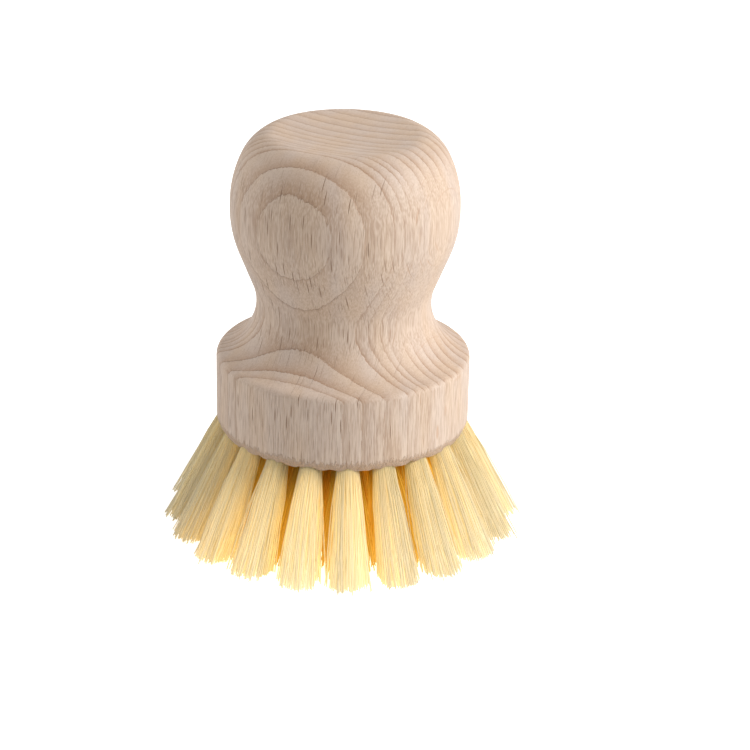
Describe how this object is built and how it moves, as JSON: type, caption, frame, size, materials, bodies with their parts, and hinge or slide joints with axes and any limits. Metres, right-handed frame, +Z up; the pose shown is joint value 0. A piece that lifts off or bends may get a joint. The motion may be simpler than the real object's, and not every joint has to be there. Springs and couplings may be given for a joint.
{
  "type": "palm brush",
  "caption": "Round palm scrubbing brush: a turned wooden knob handle with a flared foot and rings of splayed, flat-trimmed bristle tufts set into its underside.",
  "frame": {"origin": "middle of the trimmed bristle tips, on the plane that the brush stands on", "axes": "+Z up along the turned axis from the bristle tips to the dished top of the knob; -Y is the front as pictured"},
  "size_m": [0.0646, 0.0646, 0.075],
  "materials": {
    "beech": "bare sanded beech, no oil or lacquer",
    "bristle": "pale yellow monofilament, satin",
    "anchor_wire": "plain zinc-coated flat wire"
  },
  "bodies": {
    "root": {"handle_block": "beech", "drilled_foot": "beech", "tuft_outer_01": "bristle", "tuft_outer_02": "bristle", "tuft_outer_03": "bristle", "tuft_outer_04": "bristle", "tuft_outer_05": "bristle", "tuft_outer_06": "bristle", "tuft_outer_07": "bristle", "tuft_outer_08": "bristle", "tuft_outer_09": "bristle", "tuft_outer_10": "bristle", "tuft_outer_11": "bristle", "tuft_outer_12": "bristle", "tuft_outer_13": "bristle", "tuft_outer_14": "bristle", "tuft_outer_15": "bristle", "tuft_outer_16": "bristle", "tuft_outer_17": "bristle", "tuft_outer_18": "bristle", "tuft_outer_19": "bristle", "tuft_outer_20": "bristle", "tuft_middle_01": "bristle", "tuft_middle_02": "bristle", "tuft_middle_03": "bristle", "tuft_middle_04": "bristle", "tuft_middle_05": "bristle", "tuft_middle_06": "bristle", "tuft_middle_07": "bristle", "tuft_middle_08": "bristle", "tuft_middle_09": "bristle", "tuft_middle_10": "bristle", "tuft_middle_11": "bristle", "tuft_middle_12": "bristle", "tuft_middle_13": "bristle", "tuft_middle_14": "bristle", "tuft_inner_01": "bristle", "tuft_inner_02": "bristle", "tuft_inner_03": "bristle", "tuft_inner_04": "bristle", "tuft_inner_05": "bristle", "tuft_inner_06": "bristle", "tuft_centre_01": "bristle", "anchors_outer": "anchor_wire", "anchors_middle": "anchor_wire", "anchors_inner": "anchor_wire", "anchors_centre": "anchor_wire"}
  },
  "joints": []
}
